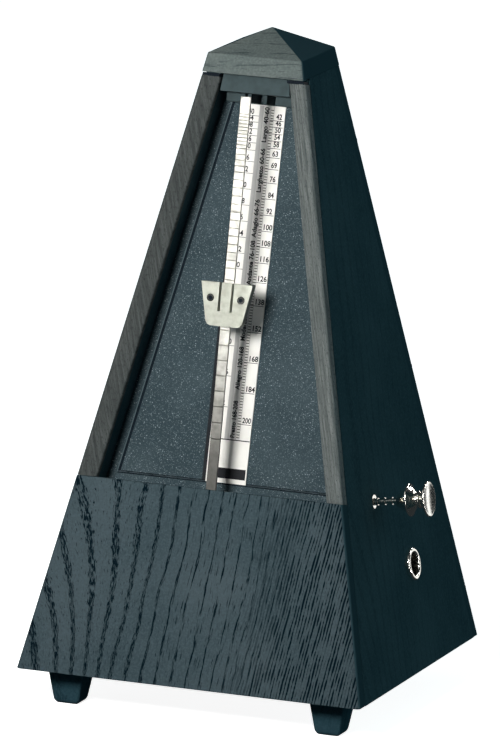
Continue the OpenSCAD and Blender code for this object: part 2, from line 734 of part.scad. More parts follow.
module bell_hammer() {
  tail = second - [0, tail_drop];
  head = bell_at + head_gap * [cos(head_angle), sin(head_angle)];
  color(steel) {
    on_axle([0, 0], hammer_x) linear_extrude(height = 1.5) difference() {
      union() {
        hull() {
          translate(hammer_at) circle(r = 2.4, $fn = 32);
          translate(tail - [0, 0.6]) circle(r = 0.6, $fn = 32);
        }
        hull() {
          translate(hammer_at) circle(r = 2.4, $fn = 32);
          translate(head) circle(r = 1, $fn = 32);
        }
      }
      translate(hammer_at) circle(d = 2.1, $fn = 32);
    }
    on_axle(head, hammer_x - 6) cylinder(r = 2.2, h = 6);
  }
}

left_side_board();
right_side_board();
back_board();
front_lower_panel();
bottom_board();
top_cap();
left_rail();
right_rail();
face_plate();
scale_plate();
pendulum_catch();
foot_front_left();
foot_front_right();
foot_rear();
bottom_screws();
back_screws();
key_ferrule();
pull_rod_bush();
pull_detent_spring();
movement_left_plate();
movement_right_plate();
movement_pillars();
pillar_screws();
movement_screws();
pendulum_front_bridge();
pendulum_rear_bridge();
mainspring_barrel();
barrel_cover();
mainspring();
winding_arbor();
ratchet_wheel();
click();
click_spring();
click_screw();
second_arbor();
second_wheel();
bell_cam();
escape_arbor();
escape_wheel();
pendulum_arbor();
pallets();
pendulum_hub();
pendulum_rod();
bob_stem();
pendulum_bob();
sliding_weight();
weight_spring();
weight_rivets();
bell();
bell_post();
bell_nut();
hammer_stud();
bell_hammer();
bell_pull_rod();
bell_pull_knob();
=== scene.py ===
"""Looks for the pyramid metronome: a stained oak case, a speckled face plate, a printed scale and
bright metal parts."""
import json
import math

import bmesh
import bpy
from mathutils import Matrix, Vector


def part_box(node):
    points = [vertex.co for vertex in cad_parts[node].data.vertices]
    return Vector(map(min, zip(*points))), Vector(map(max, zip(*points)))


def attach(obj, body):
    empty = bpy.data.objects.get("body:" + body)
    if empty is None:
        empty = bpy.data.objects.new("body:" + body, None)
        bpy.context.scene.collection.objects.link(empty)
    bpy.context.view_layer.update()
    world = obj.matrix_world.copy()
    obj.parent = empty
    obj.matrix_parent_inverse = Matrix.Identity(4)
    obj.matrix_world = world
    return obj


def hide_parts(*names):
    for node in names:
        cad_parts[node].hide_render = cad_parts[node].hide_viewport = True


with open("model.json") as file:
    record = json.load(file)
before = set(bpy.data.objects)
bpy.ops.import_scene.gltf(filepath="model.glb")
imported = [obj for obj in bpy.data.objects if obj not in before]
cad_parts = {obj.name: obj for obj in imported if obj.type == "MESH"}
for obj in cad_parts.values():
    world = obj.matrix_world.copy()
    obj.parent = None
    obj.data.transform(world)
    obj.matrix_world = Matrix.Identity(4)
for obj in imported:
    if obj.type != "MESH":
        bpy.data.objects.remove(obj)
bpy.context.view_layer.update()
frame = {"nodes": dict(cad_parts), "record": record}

MM = 0.001
X_AXIS, Y_AXIS, Z_AXIS = (1, 0, 0), (0, 1, 0), (0, 0, 1)
NODES = frame["nodes"]
BODIES = frame["record"]["behaviour"]["bodies"]
SLOT_OF = {part["node"]: part["material_slot"] for part in frame["record"]["subparts"]}
BODY_OF = {node: body for body, nodes in BODIES.items() for node in nodes}

# ---- The case's own measures, in millimetres ----
# s runs up the front's slope from the case's lower edge. A depth runs into the case from the front.
# PLATE_SIDE is the distance from the case's side to the face plate's edge.
TAPER = math.radians(12.1)
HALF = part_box("front_lower_panel")[1].x / MM
FOOT_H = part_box("front_lower_panel")[0].z / MM
PLATE_SIDE = 5.214
RAIL_W = 6.1
SCALE_DEPTH = 16.1
PLATE_DEPTH = 16.6
GROOVE_IN = 3.2
GROOVE_LOW, GROOVE_HIGH = 66.3, 196
PIVOT_S, PIVOT_DEPTH = 54.0, 3.635
ROD_LEAN = math.radians(3.03)
KEY_Y, KEY_Z = 8, 33.4
PULL_Y, PULL_Z, PULL_TILT = -15.5, 58.2, 9
PULL_OUT = 19.2

UP = Vector((0, math.sin(TAPER), math.cos(TAPER)))
FRONT = (Matrix.Translation((0, -HALF * MM, FOOT_H * MM)) @
         Matrix.Rotation(math.pi / 2 - TAPER, 4, "X"))
PENDULUM = (FRONT @ Matrix.Translation((0, PIVOT_S * MM, -PIVOT_DEPTH * MM)) @
            Matrix.Rotation(ROD_LEAN, 4, "X"))


def half_width(z):
    """Half the case's width at height z above its lower edge."""
    return HALF - z * math.tan(TAPER)


# ---- Camera, lights and floor ----
LIGHTS_AIM = Vector((0, 0, 0.1))
# Name, direction, distance, width and height, power and colour, in metres and watts.
SOFT_LIGHTS = (("key", (-0.05, -0.92, 0.38), 0.52, (0.11, 0.11), 2.65, (1, 0.99, 0.96)),
               ("overhead", (-0.2, -0.62, 0.76), 0.5, (0.3, 0.3), 0.3, (1, 1, 0.97)),
               ("left_fill", (-0.75, -0.62, 0.25), 1.2, (0.4, 0.6), 0.45, (0.95, 1, 1)))
# Direction, width and height, and power of the panels that show only in reflections.
GLINT_DISTANCE = 1.1
GLINTS = (((0.38, 0.92, -0.05), (0.16, 0.5), 0.3), ((0.98, 0.15, 0.1), (0.04, 0.8), 1.2),
          ((0.95, -0.25, 0.1), (0.05, 0.6), 1.8), ((0.75, -0.45, 0.6), (0.4, 0.05), 1.4),
          ((0.55, -0.8, -0.05), (0.05, 0.4), 0.9), ((0.6, 0.7, 0.3), (0.05, 0.5), 1.4),
          ((0.25, 0.9, 0.35), (0.25, 0.08), 1.8), ((0.9, 0.3, -0.2), (0.3, 0.05), 1.2))
# Direction, power and colour of the broad lights that no surface reflects.
FILL_DISTANCE, FILL_SIZE = 1.6, 1.6
FILLS = (((1.0, 0.1, 0.25), 5.6, (0.5, 0.92, 1.0)), ((-0.8, 0.5, 0.3), 1.8, (0.5, 0.9, 1.0)),
         ((0.2, 0.9, 0.5), 4.5, (0.6, 0.92, 1.0)), ((0, -0.6, -0.3), 0.8, (0.4, 0.85, 1.0)))
FLOOR_REACH = 8


def camera():
    yaw, pitch, roll = (math.radians(angle) for angle in (19.72, 11.83, 2.08))
    distance = 3.0995
    aim = Vector((-0.00334, 0, FOOT_H * MM + 0.0912))
    right = Vector((math.cos(yaw), math.sin(yaw), 0))
    back = Vector((math.sin(yaw) * math.cos(pitch), -math.cos(yaw) * math.cos(pitch),
                   math.sin(pitch)))
    up = back.cross(right)
    rolled_right = math.cos(roll) * right + math.sin(roll) * up
    rolled_up = math.cos(roll) * up - math.sin(roll) * right
    data = bpy.data.cameras.new("camera")
    data.sensor_width = 36
    data.lens = 455.4
    data.clip_end = 50
    cam = bpy.data.objects.new("camera", data)
    axes = Matrix((rolled_right, rolled_up, back)).transposed().to_4x4()
    cam.matrix_world = Matrix.Translation(aim + back * distance) @ axes
    bpy.context.scene.collection.objects.link(cam)
    bpy.context.scene.camera = cam


def area_light(name, toward, distance, size, power, colour=(1, 1, 1)):
    direction = Vector(toward).normalized()
    data = bpy.data.lights.new(name, "AREA")
    data.shape = "RECTANGLE"
    data.size, data.size_y = size
    data.energy = power
    data.color = colour
    lamp = bpy.data.objects.new(name, data)
    lamp.location = LIGHTS_AIM + direction * distance
    lamp.rotation_euler = direction.to_track_quat("Z", "Y").to_euler()
    bpy.context.scene.collection.objects.link(lamp)
    return lamp


def studio():
    """A near key light from the front, soft ones above and to the left, bright panels for the
    metal to reflect, and broad fills."""
    for light in SOFT_LIGHTS:
        area_light(*light)
    for k, (toward, size, power) in enumerate(GLINTS):
        lamp = area_light(f"glint_{k}", toward, GLINT_DISTANCE, size, power)
        lamp.visible_diffuse = False
    for k, (toward, power, colour) in enumerate(FILLS):
        lamp = area_light(f"fill_{k}", toward, FILL_DISTANCE, (FILL_SIZE, FILL_SIZE), power, colour)
        lamp.visible_glossy = False
    world = bpy.data.worlds.new("studio")
    world.use_nodes = True
    background = world.node_tree.nodes["Background"]
    background.inputs["Color"].default_value = (0.8, 0.92, 1.0, 1)
    background.inputs["Strength"].default_value = 0.03
    bpy.context.scene.world = world
    bpy.context.scene.view_settings.view_transform = "Standard"


def floor():
    mesh = bpy.data.meshes.new("floor")
    corners = ((-1, -1), (1, -1), (1, 1), (-1, 1))
    mesh.from_pydata([(x * FLOOR_REACH, y * FLOOR_REACH, 0) for x, y in corners], [],
                     [(0, 1, 2, 3)])
    obj = bpy.data.objects.new("floor", mesh)
    bpy.context.scene.collection.objects.link(obj)
    mat = bpy.data.materials.new("pale_floor")
    mat.use_nodes = True
    shader = mat.node_tree.nodes["Principled BSDF"]
    shader.inputs["Base Color"].default_value = (0.88, 0.88, 0.88, 1)
    shader.inputs["Roughness"].default_value = 1
    shader.inputs["Specular IOR Level"].default_value = 0
    shader.inputs["Emission Color"].default_value = (1, 1, 1, 1)
    shader.inputs["Emission Strength"].default_value = 0.92
    mesh.materials.append(mat)
    obj.visible_diffuse = False
    obj.visible_glossy = False


# ---- Node helpers ----
class Graph:
    """A short way to write a material's nodes."""

    def __init__(self, name, rough=0.5, metal=0.0, specular=0.5):
        self.mat = bpy.data.materials.new(name)
        self.mat.use_nodes = True
        self.tree = self.mat.node_tree
        self.shader = self.tree.nodes["Principled BSDF"]
        self.shader.inputs["Roughness"].default_value = rough
        self.shader.inputs["Metallic"].default_value = metal
        self.shader.inputs["Specular IOR Level"].default_value = specular

    def put(self, socket, value):
        if isinstance(value, bpy.types.NodeSocket):
            self.tree.links.new(value, socket)
        elif isinstance(value, tuple) and len(value) == 3 and len(socket.default_value) == 4:
            socket.default_value = (*value, 1)
        else:
            socket.default_value = value

    def set(self, name, value):
        self.put(self.shader.inputs[name], value)

    def math(self, op, a, b=0.0):
        node = self.tree.nodes.new("ShaderNodeMath")
        node.operation = op
        self.put(node.inputs[0], a)
        self.put(node.inputs[1], b)
        return node.outputs[0]

    def plus(self, a, b):
        return self.math("ADD", a, b)

    def minus(self, a, b):
        return self.math("SUBTRACT", a, b)

    def times(self, a, b):
        return self.math("MULTIPLY", a, b)

    def from_middle(self, value):
        """How far a count is from the middle of its own unit, 0 to 0.5."""
        return self.math("ABSOLUTE", self.minus(self.math("FRACT", value), 0.5))

    def place(self):
        """The point in millimetres, in the part's own frame."""
        coord = self.tree.nodes.new("ShaderNodeTexCoord")
        scale = self.tree.nodes.new("ShaderNodeVectorMath")
        scale.operation = "SCALE"
        self.put(scale.inputs[0], coord.outputs["Object"])
        scale.inputs["Scale"].default_value = 1 / MM
        return scale.outputs[0]

    def along(self, point, axis):
        node = self.tree.nodes.new("ShaderNodeVectorMath")
        node.operation = "DOT_PRODUCT"
        self.put(node.inputs[0], point)
        node.inputs[1].default_value = axis
        return node.outputs["Value"]

    def noise(self, vector, scale=1.0, detail=2.0, rough=0.5):
        node = self.tree.nodes.new("ShaderNodeTexNoise")
        self.put(node.inputs["Vector"], vector)
        node.inputs["Scale"].default_value = scale
        node.inputs["Detail"].default_value = detail
        node.inputs["Roughness"].default_value = rough
        return node.outputs["Fac"]

    def streaks(self, u, v, fine_u, fine_v, seed=0.0, detail=2.0, rough=0.5):
        """Noise that is as fine as fine_u across u and as fine_v along v."""
        node = self.tree.nodes.new("ShaderNodeCombineXYZ")
        for socket, value in zip(node.inputs, (self.times(u, fine_u), self.times(v, fine_v), seed)):
            self.put(socket, value)
        return self.noise(node.outputs[0], detail=detail, rough=rough)

    def cells(self, vector, scale):
        node = self.tree.nodes.new("ShaderNodeTexVoronoi")
        self.put(node.inputs["Vector"], vector)
        node.inputs["Scale"].default_value = scale
        return node.outputs["Distance"], node.outputs["Color"]

    def step(self, value, low, high, to_low=0.0, to_high=1.0):
        """A smooth step from to_low at low to to_high at high."""
        node = self.tree.nodes.new("ShaderNodeMapRange")
        node.interpolation_type = "SMOOTHSTEP"
        for name, v in (("Value", value), ("From Min", low), ("From Max", high),
                        ("To Min", to_low), ("To Max", to_high)):
            self.put(node.inputs[name], v)
        return node.outputs["Result"]

    def blend(self, factor, a, b):
        """Mixes two numbers."""
        node = self.tree.nodes.new("ShaderNodeMix")
        for socket, value in ((0, factor), (2, a), (3, b)):
            self.put(node.inputs[socket], value)
        return node.outputs[0]

    def mix(self, factor, a, b):
        """Mixes two colours."""
        node = self.tree.nodes.new("ShaderNodeMix")
        node.data_type = "RGBA"
        for socket, value in ((0, factor), (6, a), (7, b)):
            self.put(node.inputs[socket], value)
        return node.outputs[2]

    def bump(self, height, depth, strength=1.0):
        node = self.tree.nodes.new("ShaderNodeBump")
        node.inputs["Strength"].default_value = strength
        node.inputs["Distance"].default_value = depth * MM
        self.put(node.inputs["Height"], height)
        self.set("Normal", node.outputs[0])


def scaled(colour, factor):
    return tuple(c * factor for c in colour)


def tinted(colour, tone):
    return tuple(c * k for c, k in zip(colour, tone))


# ---- Materials ----
OAK_DARK, OAK_LIGHT = (0.041, 0.063, 0.074), (0.056, 0.079, 0.091)
OAK_PORE = (0.003, 0.009, 0.014)
# The colour of the case's side in shade, laid on the boards' left and right faces: painted shade.
OAK_SIDE_SHADE = (0.030, 0.060, 0.073)
# The oak's grain, in mm: u or w across the board, v up it.
ROW_LEAN, ROW_FAN, LEAN_FROM = 0.11, 0.40, 30.0
BEND, WAVE = 7.0, 1.8
ROWS_PER_MM, ROWS_CLOSING, ROWS_CROWDING = 0.205, 0.0008, 0.016
ROW_WIDTH, WIDER_LOOSE, WIDER_DENSE = 0.085, 0.10, 0.26
LINE_LEAN, LINES_PER_MM, LINE_WAVE = 0.16, 0.98, 1.3
THIN_PORES = 0.35
OAK_BOARDS = {
    "oak_front": dict(across=X_AXIS, along=Z_AXIS, shaded_sides=True),
    # The side's cooler tone and faint grain copy the look of the side in shade: painted shade.
    "oak_side": dict(across=Y_AXIS, along=Z_AXIS, middle=4.0, crowd_from=24.0, contrast=0.2,
                     tone=(0.78, 1.0, 1.02)),
    "oak_back": dict(across=X_AXIS, along=Z_AXIS, middle=-10.0, crowd_from=20.0, contrast=0.8,
                     tone=(0.8, 0.85, 0.9), turn=-1.0, shaded_sides=True),
    "oak_cap": dict(across=(0, 0.4, 1), along=X_AXIS, middle=200.0, low=-30.0, crowd_from=60.0,
                    contrast=0.45, tone=(2.35, 1.9, 1.6), shaded_sides=True),
    # The feet's darker, cooler tone is painted shade under the case.
    "oak_foot": dict(across=(0.7, 0.7, 0), along=Z_AXIS, middle=4.0, crowd_from=80.0,
                     contrast=0.3, tone=(0.5, 0.8, 0.9)),
}
# Dark and light streaks, patches and pits.
STRIP_COLOURS = ((0.070, 0.084, 0.084), (0.180, 0.196, 0.194), (0.100, 0.114, 0.114),
                 (0.034, 0.045, 0.047))
PAINT_DARK, PAINT_LIGHT = (0.031, 0.051, 0.062), (0.043, 0.066, 0.078)
FLECK = (0.36, 0.42, 0.44)
# For each size of fleck: cells per mm, reach in a cell, share of cells left empty, and strength.
FLECKS = ((3.2, 0.42, 0.35, 0.32), (2.3, 0.40, 0.42, 0.50), (1.5, 0.32, 0.55, 0.85))
ENAMELS = {
    "printed_scale": (0.84, 0.825, 0.79),
    "ink_grey": (0.42, 0.42, 0.41),
    # The pale band behind the words is painted shadow of the rod.
    "painted_shadow_band": (0.70, 0.70, 0.68),
}
MOULDED = {
    "ink": (0.016, 0.017, 0.02),
    # Painted shade: the dark colour laid over the plate's groove, the gap under the cap and the
    # rivets' holes. The light groove colour is a painted highlight.
    "painted_shade": (0.004, 0.008, 0.013),
    "groove_highlight": (0.075, 0.105, 0.12),
    "catch_rubber": (0.041, 0.060, 0.065),
}
METALS = {
    "chrome_trim": dict(colour=(0.92, 0.91, 0.84), rough=0.12, wear=0.04),
    "nickel": dict(colour=(0.335, 0.345, 0.305), rough=0.5, brush=X_AXIS, wear=0.03),
    # The rod's colour is darkened low down: painted shade standing in for its darker reflection
    # there.
    "rod_nickel": dict(colour=(0.58, 0.575, 0.54), rough=0.5, brush=X_AXIS, wear=0.1,
                       shaded_below=(66, 128)),
    "steel": dict(colour=(0.50, 0.50, 0.52), rough=0.34),
    "spring_blue": dict(colour=(0.10, 0.14, 0.26), rough=0.3),
    "brass": dict(colour=(0.72, 0.53, 0.25), rough=0.30),
}


def across_rows(g, u, v, wave):
    """Distance across the rows of pores. They lean one way in the middle and fan out the other way
    on the far side, as where a board is cut near the tree's edge."""
    bend = g.streaks(u, v, 0.03, 0.02, seed=1.0, detail=1.0)
    far_side = g.step(u, -20.0, -54.0)
    lean = g.minus(ROW_LEAN, g.times(far_side, ROW_FAN))
    w = g.minus(u, g.times(lean, g.minus(v, LEAN_FROM)))
    w = g.plus(w, g.times(g.minus(bend, 0.5), BEND))
    return g.plus(w, g.times(g.minus(wave, 0.5), WAVE))


def row_pores(g, w, v, crowd_from, dense):
    """Strokes that gather in rows, and are shorter where the rows are loose."""
    crowd = g.math("MAXIMUM", g.minus(w, crowd_from), 0.0)
    row = g.plus(g.times(w, ROWS_PER_MM), g.times(g.times(w, w), ROWS_CLOSING))
    row = g.plus(row, g.times(g.times(crowd, crowd), ROWS_CROWDING))
    loose = g.step(w, -2.0, -24.0)
    width = g.plus(ROW_WIDTH, g.times(loose, WIDER_LOOSE))
    width = g.plus(width, g.times(dense, WIDER_DENSE))
    in_row = g.step(g.math("DIVIDE", g.from_middle(row), width), 1.25, 0.35)
    dash = g.streaks(g.math("FLOOR", row), v, 5.37, 0.10)
    long_strokes = g.streaks(w, v, 2.3, 0.17, rough=0.6)
    short_strokes = g.streaks(w, v, 3.1, 0.45, seed=7.0, detail=3.0, rough=0.6)
    strokes = g.blend(loose, long_strokes, short_strokes)
    gather = g.times(in_row, g.plus(0.11, g.times(dash, 0.12)))
    return g.step(g.plus(strokes, gather), 0.60, 0.70)


def straight_pores(g, u, v, wave):
    """The dense side of a board: straight broken lines about 1 mm apart."""
    leaning = g.minus(u, g.times(v, LINE_LEAN))
    line = g.plus(g.times(leaning, LINES_PER_MM), g.times(wave, LINE_WAVE))
    dash = g.streaks(g.math("FLOOR", line), v, 7.31, 0.10, seed=9.0, detail=4.0, rough=0.65)
    spread = g.step(dash, 0.36, 0.64, -0.05, 0.31)
    return g.step(g.minus(g.from_middle(line), spread), 0.11, -0.05)


def oak(name, across, along, middle=0.0, low=FOOT_H, crowd_from=14.0, contrast=1.0,
        tone=(1, 1, 1), turn=1.0, shaded_sides=False):
    """Stained open-pored oak. u runs across the board from middle, and v along it from low. The
    rows of pores crowd together past crowd_from, and a turn of -1 mirrors the board. With the flag
    for the sides set, the board is plain and dark, without pores, where it shows on the case's left
    and right: painted shade in the colour of the shaded side."""
    g = Graph(name, rough=0.6, specular=0.0)
    point = g.place()
    u = g.times(g.minus(g.along(point, across), middle), turn)
    v = g.minus(g.along(point, along), low)
    wave = g.streaks(u, v, 0.15, 0.06, seed=3.0)
    w = across_rows(g, u, v, wave)
    dense = g.step(w, crowd_from - 2, crowd_from + 20)
    pores = g.blend(dense, row_pores(g, w, v, crowd_from, dense), straight_pores(g, u, v, wave))
    thin = g.streaks(w, v, 4.2, 0.22, seed=11.0)
    pores = g.math("MAXIMUM", pores, g.times(g.step(thin, 0.60, 0.72), THIN_PORES))
    pores = g.times(pores, contrast)
    cloud = g.noise(point, 0.035, 3.0)
    grit = g.noise(point, 1.4, 2.0)
    light = tinted(OAK_LIGHT, tone)
    base = g.mix(g.step(cloud, 0.35, 0.7), tinted(OAK_DARK, tone), light)
    base = g.mix(g.step(grit, 0.35, 0.8, 0.0, 0.3), base, scaled(light, 1.7))
    # Painted shade: the board's left and right faces take the shaded side's dark colour, without
    # pores.
    if shaded_sides:
        sideways = g.minus(g.math("ABSOLUTE", g.along(point, X_AXIS)),
                           g.math("ABSOLUTE", g.along(point, Y_AXIS)))
        ends = g.step(sideways, -0.1, 0.1)
        pores = g.times(pores, g.minus(1.0, ends))
        base = g.mix(ends, base, OAK_SIDE_SHADE)
    pore = tuple(c * (0.5 + 0.5 * k) for c, k in zip(OAK_PORE, tone))
    g.set("Base Color", g.mix(pores, base, pore))
    g.set("Roughness", g.plus(0.52, g.times(pores, 0.3)))
    g.bump(g.minus(g.times(grit, 0.15), pores), 0.14, 0.7)
    return g.mat


def grey_strip(name, across, tone):
    """The matt grey wood of the rails: fine streaks that run up each strip."""
    g = Graph(name, rough=0.72, specular=0.12)
    point = g.place()
    u = g.along(point, across)
    s = g.along(point, UP)
    streak = g.streaks(u, s, 1.9, 0.06, detail=4.0, rough=0.7)
    pits = g.streaks(u, s, 3.0, 0.8, seed=4.0, detail=3.0, rough=0.75)
    patch = g.noise(point, 0.12, 3.0)
    dark, light, cloud, pit = (scaled(colour, tone) for colour in STRIP_COLOURS)
    colour = g.mix(g.step(streak, 0.34, 0.68), dark, light)
    colour = g.mix(g.step(patch, 0.4, 0.75, 0.0, 0.5), colour, cloud)
    colour = g.mix(g.step(pits, 0.52, 0.66, 0.0, 0.75), colour, pit)
    g.set("Base Color", colour)
    g.bump(g.plus(streak, g.times(pits, -0.8)), 0.14, 0.7)
    return g.mat


def speckled_plate(name):
    """Blue-grey paint, thick with light flecks of three sizes."""
    g = Graph(name, rough=0.6, specular=0.04)
    point = g.place()
    cloud = g.noise(point, 0.05, 3.0)
    colour = g.mix(g.step(cloud, 0.35, 0.65), PAINT_DARK, PAINT_LIGHT)
    height = 0.0
    for scale, reach, empty, strength in FLECKS:
        near, tint = g.cells(point, scale)
        parts = g.tree.nodes.new("ShaderNodeSeparateColor")
        g.put(parts.inputs[0], tint)
        fleck = g.times(g.step(near, reach, reach * 0.4), g.step(parts.outputs[0], empty, 1.0))
        colour = g.mix(g.times(fleck, strength), colour, FLECK)
        height = g.plus(height, fleck)
    g.set("Base Color", colour)
    g.bump(height, 0.05, 0.5)
    return g.mat


def enamel(name, colour):
    """Smooth printed enamel, with a trace of unevenness."""
    g = Graph(name, rough=0.38, specular=0.4)
    cloud = g.noise(g.place(), 0.15, 3.0)
    g.set("Base Color", g.mix(g.step(cloud, 0.35, 0.75), colour, scaled(colour, 0.91)))
    g.set("Roughness", g.step(cloud, 0.3, 0.7, 0.34, 0.46))
    return g.mat


def moulded(name, colour):
    """A moulded part of little sheen, with a fine matt skin."""
    g = Graph(name, rough=0.6, specular=0.06)
    point = g.place()
    skin = g.noise(point, 3.0, 3.0)
    cloud = g.noise(point, 0.3, 2.0)
    g.set("Base Color", g.mix(g.step(cloud, 0.3, 0.7), colour, scaled(colour, 1.25)))
    g.bump(skin, 0.03, 0.5)
    return g.mat


def metal(name, colour, rough, brush=Z_AXIS, wear=0.12, shaded_below=None):
    """Worked metal: fine lines across the brush direction and slightly uneven polish. The last
    argument is two distances up the slope, in mm: below the first the colour is darkened as painted
    shade, and above the second it is not."""
    g = Graph(name, rough=rough, metal=1.0)
    point = g.place()
    lines = g.streaks(g.along(point, brush), g.along(point, (0.3, 0.2, 0.1)), 12.0, 1.0)
    cloud = g.noise(point, 0.5, 3.0)
    shade = g.mix(g.step(cloud, 0.3, 0.75), colour, scaled(colour, 1 - wear * 2))
    # Painted shade: the colour darkens towards the lower of the two heights.
    if shaded_below:
        clear = g.step(g.along(point, UP), *shaded_below)
        shade = g.mix(clear, scaled(colour, 0.17), shade)
    g.set("Base Color", shade)
    polish = g.plus(g.times(cloud, 0.7), g.times(lines, 0.3))
    g.set("Roughness", g.step(polish, 0.3, 0.7, rough * 0.8, min(rough * 1.35, 0.9)))
    g.bump(lines, 0.01, 0.25)
    return g.mat


def materials():
    mats = {name: oak(name, **board) for name, board in OAK_BOARDS.items()}
    mats["grey_strip"] = grey_strip("grey_strip", (1, 0.25, 0.2), 1.0)
    # The left rail's strip is the same grey wood at half the brightness: painted shade.
    mats["shaded_strip"] = grey_strip("shaded_strip", (1, -0.25, 0.2), 0.50)
    mats["speckled_plate"] = speckled_plate("speckled_plate")
    mats.update({name: enamel(name, colour) for name, colour in ENAMELS.items()})
    mats.update({name: moulded(name, colour) for name, colour in MOULDED.items()})
    mats.update({name: metal(name, **look) for name, look in METALS.items()})
    return mats


# ---- Mesh helpers ----
WELD, FINE_WELD = 0.01 * MM, 0.001 * MM
FLAT_ANGLE, EDGE_ANGLE, SMOOTH_ANGLE = (math.radians(angle) for angle in (1, 12, 40))
LATHE_STEPS = 96


def link(name, mesh, material, body):
    mesh.materials.clear()
    mesh.materials.append(material)
    obj = bpy.data.objects.new(name, mesh)
    bpy.context.scene.collection.objects.link(obj)
    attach(obj, body)
    return obj


def replace(node, name, mesh, material):
    """Puts a detailed piece in the place of the CAD node, on its body."""
    obj = link(name, mesh, material, BODY_OF[node])
    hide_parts(node)


def to_mesh(name, bm):
    mesh = bpy.data.meshes.new(name)
    bm.to_mesh(mesh)
    bm.free()
    return mesh


def smooth(mesh):
    """Smooth shading that keeps the broad faces flat: normals are weighted by face area."""
    limit = math.cos(SMOOTH_ANGLE)
    at_vertex = [[] for _ in mesh.vertices]
    for face in mesh.polygons:
        face.use_smooth = True
        for v in face.vertices:
            at_vertex[v].append(face.index)
    normals = []
    for face in mesh.polygons:
        for v in face.vertices:
            total = Vector()
            for other in (mesh.polygons[k] for k in at_vertex[v]):
                if other.normal.dot(face.normal) > limit:
                    total += other.normal * other.area
            normals.append(total.normalized() if total.length > 0 else face.normal)
    mesh.normals_split_custom_set(normals)


def eased_copy(node, name, material, rules):
    """The node's own shape with its edges rounded. Each rule is (test, width in mm, segments), and
    an edge takes the first rule whose test holds for its two ends."""
    bm = bmesh.new()
    bm.from_mesh(NODES[node].data)
    bmesh.ops.remove_doubles(bm, verts=bm.verts, dist=WELD)
    bmesh.ops.dissolve_limit(bm, angle_limit=FLAT_ANGLE, verts=bm.verts, edges=bm.edges)
    for test, width, segments in rules:
        edges = [e for e in bm.edges
                 if len(e.link_faces) == 2 and e.calc_face_angle() > EDGE_ANGLE
                 and test(*(v.co / MM for v in e.verts))]
        if edges:
            bmesh.ops.bevel(bm, geom=edges, offset=width * MM, segments=segments, profile=0.5,
                            affect="EDGES", clamp_overlap=True)
    mesh = to_mesh(name, bm)
    smooth(mesh)
    replace(node, name, mesh, material)


def lathe(node, name, material, profile, place):
    """Turns a closed outline of (radius, height) points, in mm, about place's Z axis."""
    verts, faces = [], []
    n = len(profile)
    for i in range(LATHE_STEPS):
        a = 2 * math.pi * i / LATHE_STEPS
        verts += [place @ Vector((r * math.cos(a) * MM, r * math.sin(a) * MM, h * MM))
                  for r, h in profile]
        low, high = i * n, (i + 1) % LATHE_STEPS * n
        faces += [(low + k, high + k, high + (k + 1) % n, low + (k + 1) % n) for k in range(n)]
    mesh = bpy.data.meshes.new(name)
    mesh.from_pydata(verts, [], faces)
    turn_outwards(mesh, FINE_WELD)
    smooth(mesh)
    replace(node, name, mesh, material)


def turn_outwards(mesh, weld=0.0):
    """Makes every face look outwards, after points closer than weld are joined."""
    bm = bmesh.new()
    bm.from_mesh(mesh)
    if weld:
        bmesh.ops.remove_doubles(bm, verts=bm.verts, dist=weld)
    bmesh.ops.recalc_face_normals(bm, faces=bm.faces)
    bm.to_mesh(mesh)
    bm.free()


def arc(cx, cy, r, start, end, steps=6):
    """Points on a round corner, in degrees."""
    angles = [math.radians(start + (end - start) * i / steps) for i in range(steps + 1)]
    return [(cx + r * math.cos(a), cy + r * math.sin(a)) for a in angles]


def rect(x0, x1, s0, s1):
    return [(x0, s0), (x1, s0), (x1, s1), (x0, s1)]


def rule(line, s):
    """A line across the scale at s: from where, to where and half its height."""
    x0, x1, half = line
    return rect(x0, x1, s - half, s + half)


def flat_shapes(name, shapes, material, lift, thick=0.02):
    """Flat shapes on the case. Each is a list of (across, up the slope) points in mm, and its back
    is at lift above the scale's face."""
    verts, faces = [], []
    for shape in shapes:
        start, n = len(verts), len(shape)
        for z in (lift, lift + thick):
            verts += [FRONT @ Vector((x * MM, s * MM, (z - SCALE_DEPTH) * MM)) for x, s in shape]
        faces.append([start + n + k for k in range(n)])
        faces.append([start + k for k in reversed(range(n))])
        faces += [(start + k, start + (k + 1) % n, start + n + (k + 1) % n, start + n + k)
                  for k in range(n)]
    mesh = bpy.data.meshes.new(name)
    mesh.from_pydata(verts, [], faces)
    link(name, mesh, material, "case")


# ---- Case ----
ON_PLATE = SCALE_DEPTH - PLATE_DEPTH + 0.01
# The dark block of painted shade above a rail: its back's depth, its thickness, and the room beside
# and above it.
GAP_DEPTH, GAP_THICK = 12, 11
GAP_SIDE, GAP_TOP = 0.3, 0.1
NEAR = 0.3


def anywhere(a, b):
    """Every edge."""
    return True


def upright(a, b):
    """Edges that climb the case, by more than 20 mm."""
    return abs(a.z - b.z) > 20


def outer_corner(a, b):
    """The case's four long corners."""
    return upright(a, b) and all(abs(abs(side) - half_width(p.z - FOOT_H)) < NEAR
                                 for p in (a, b) for side in (p.x, p.y))


def cap_corner(a, b):
    """The cap's four short corners, below its pyramid."""
    return 4 < abs(a.z - b.z) < 6.5


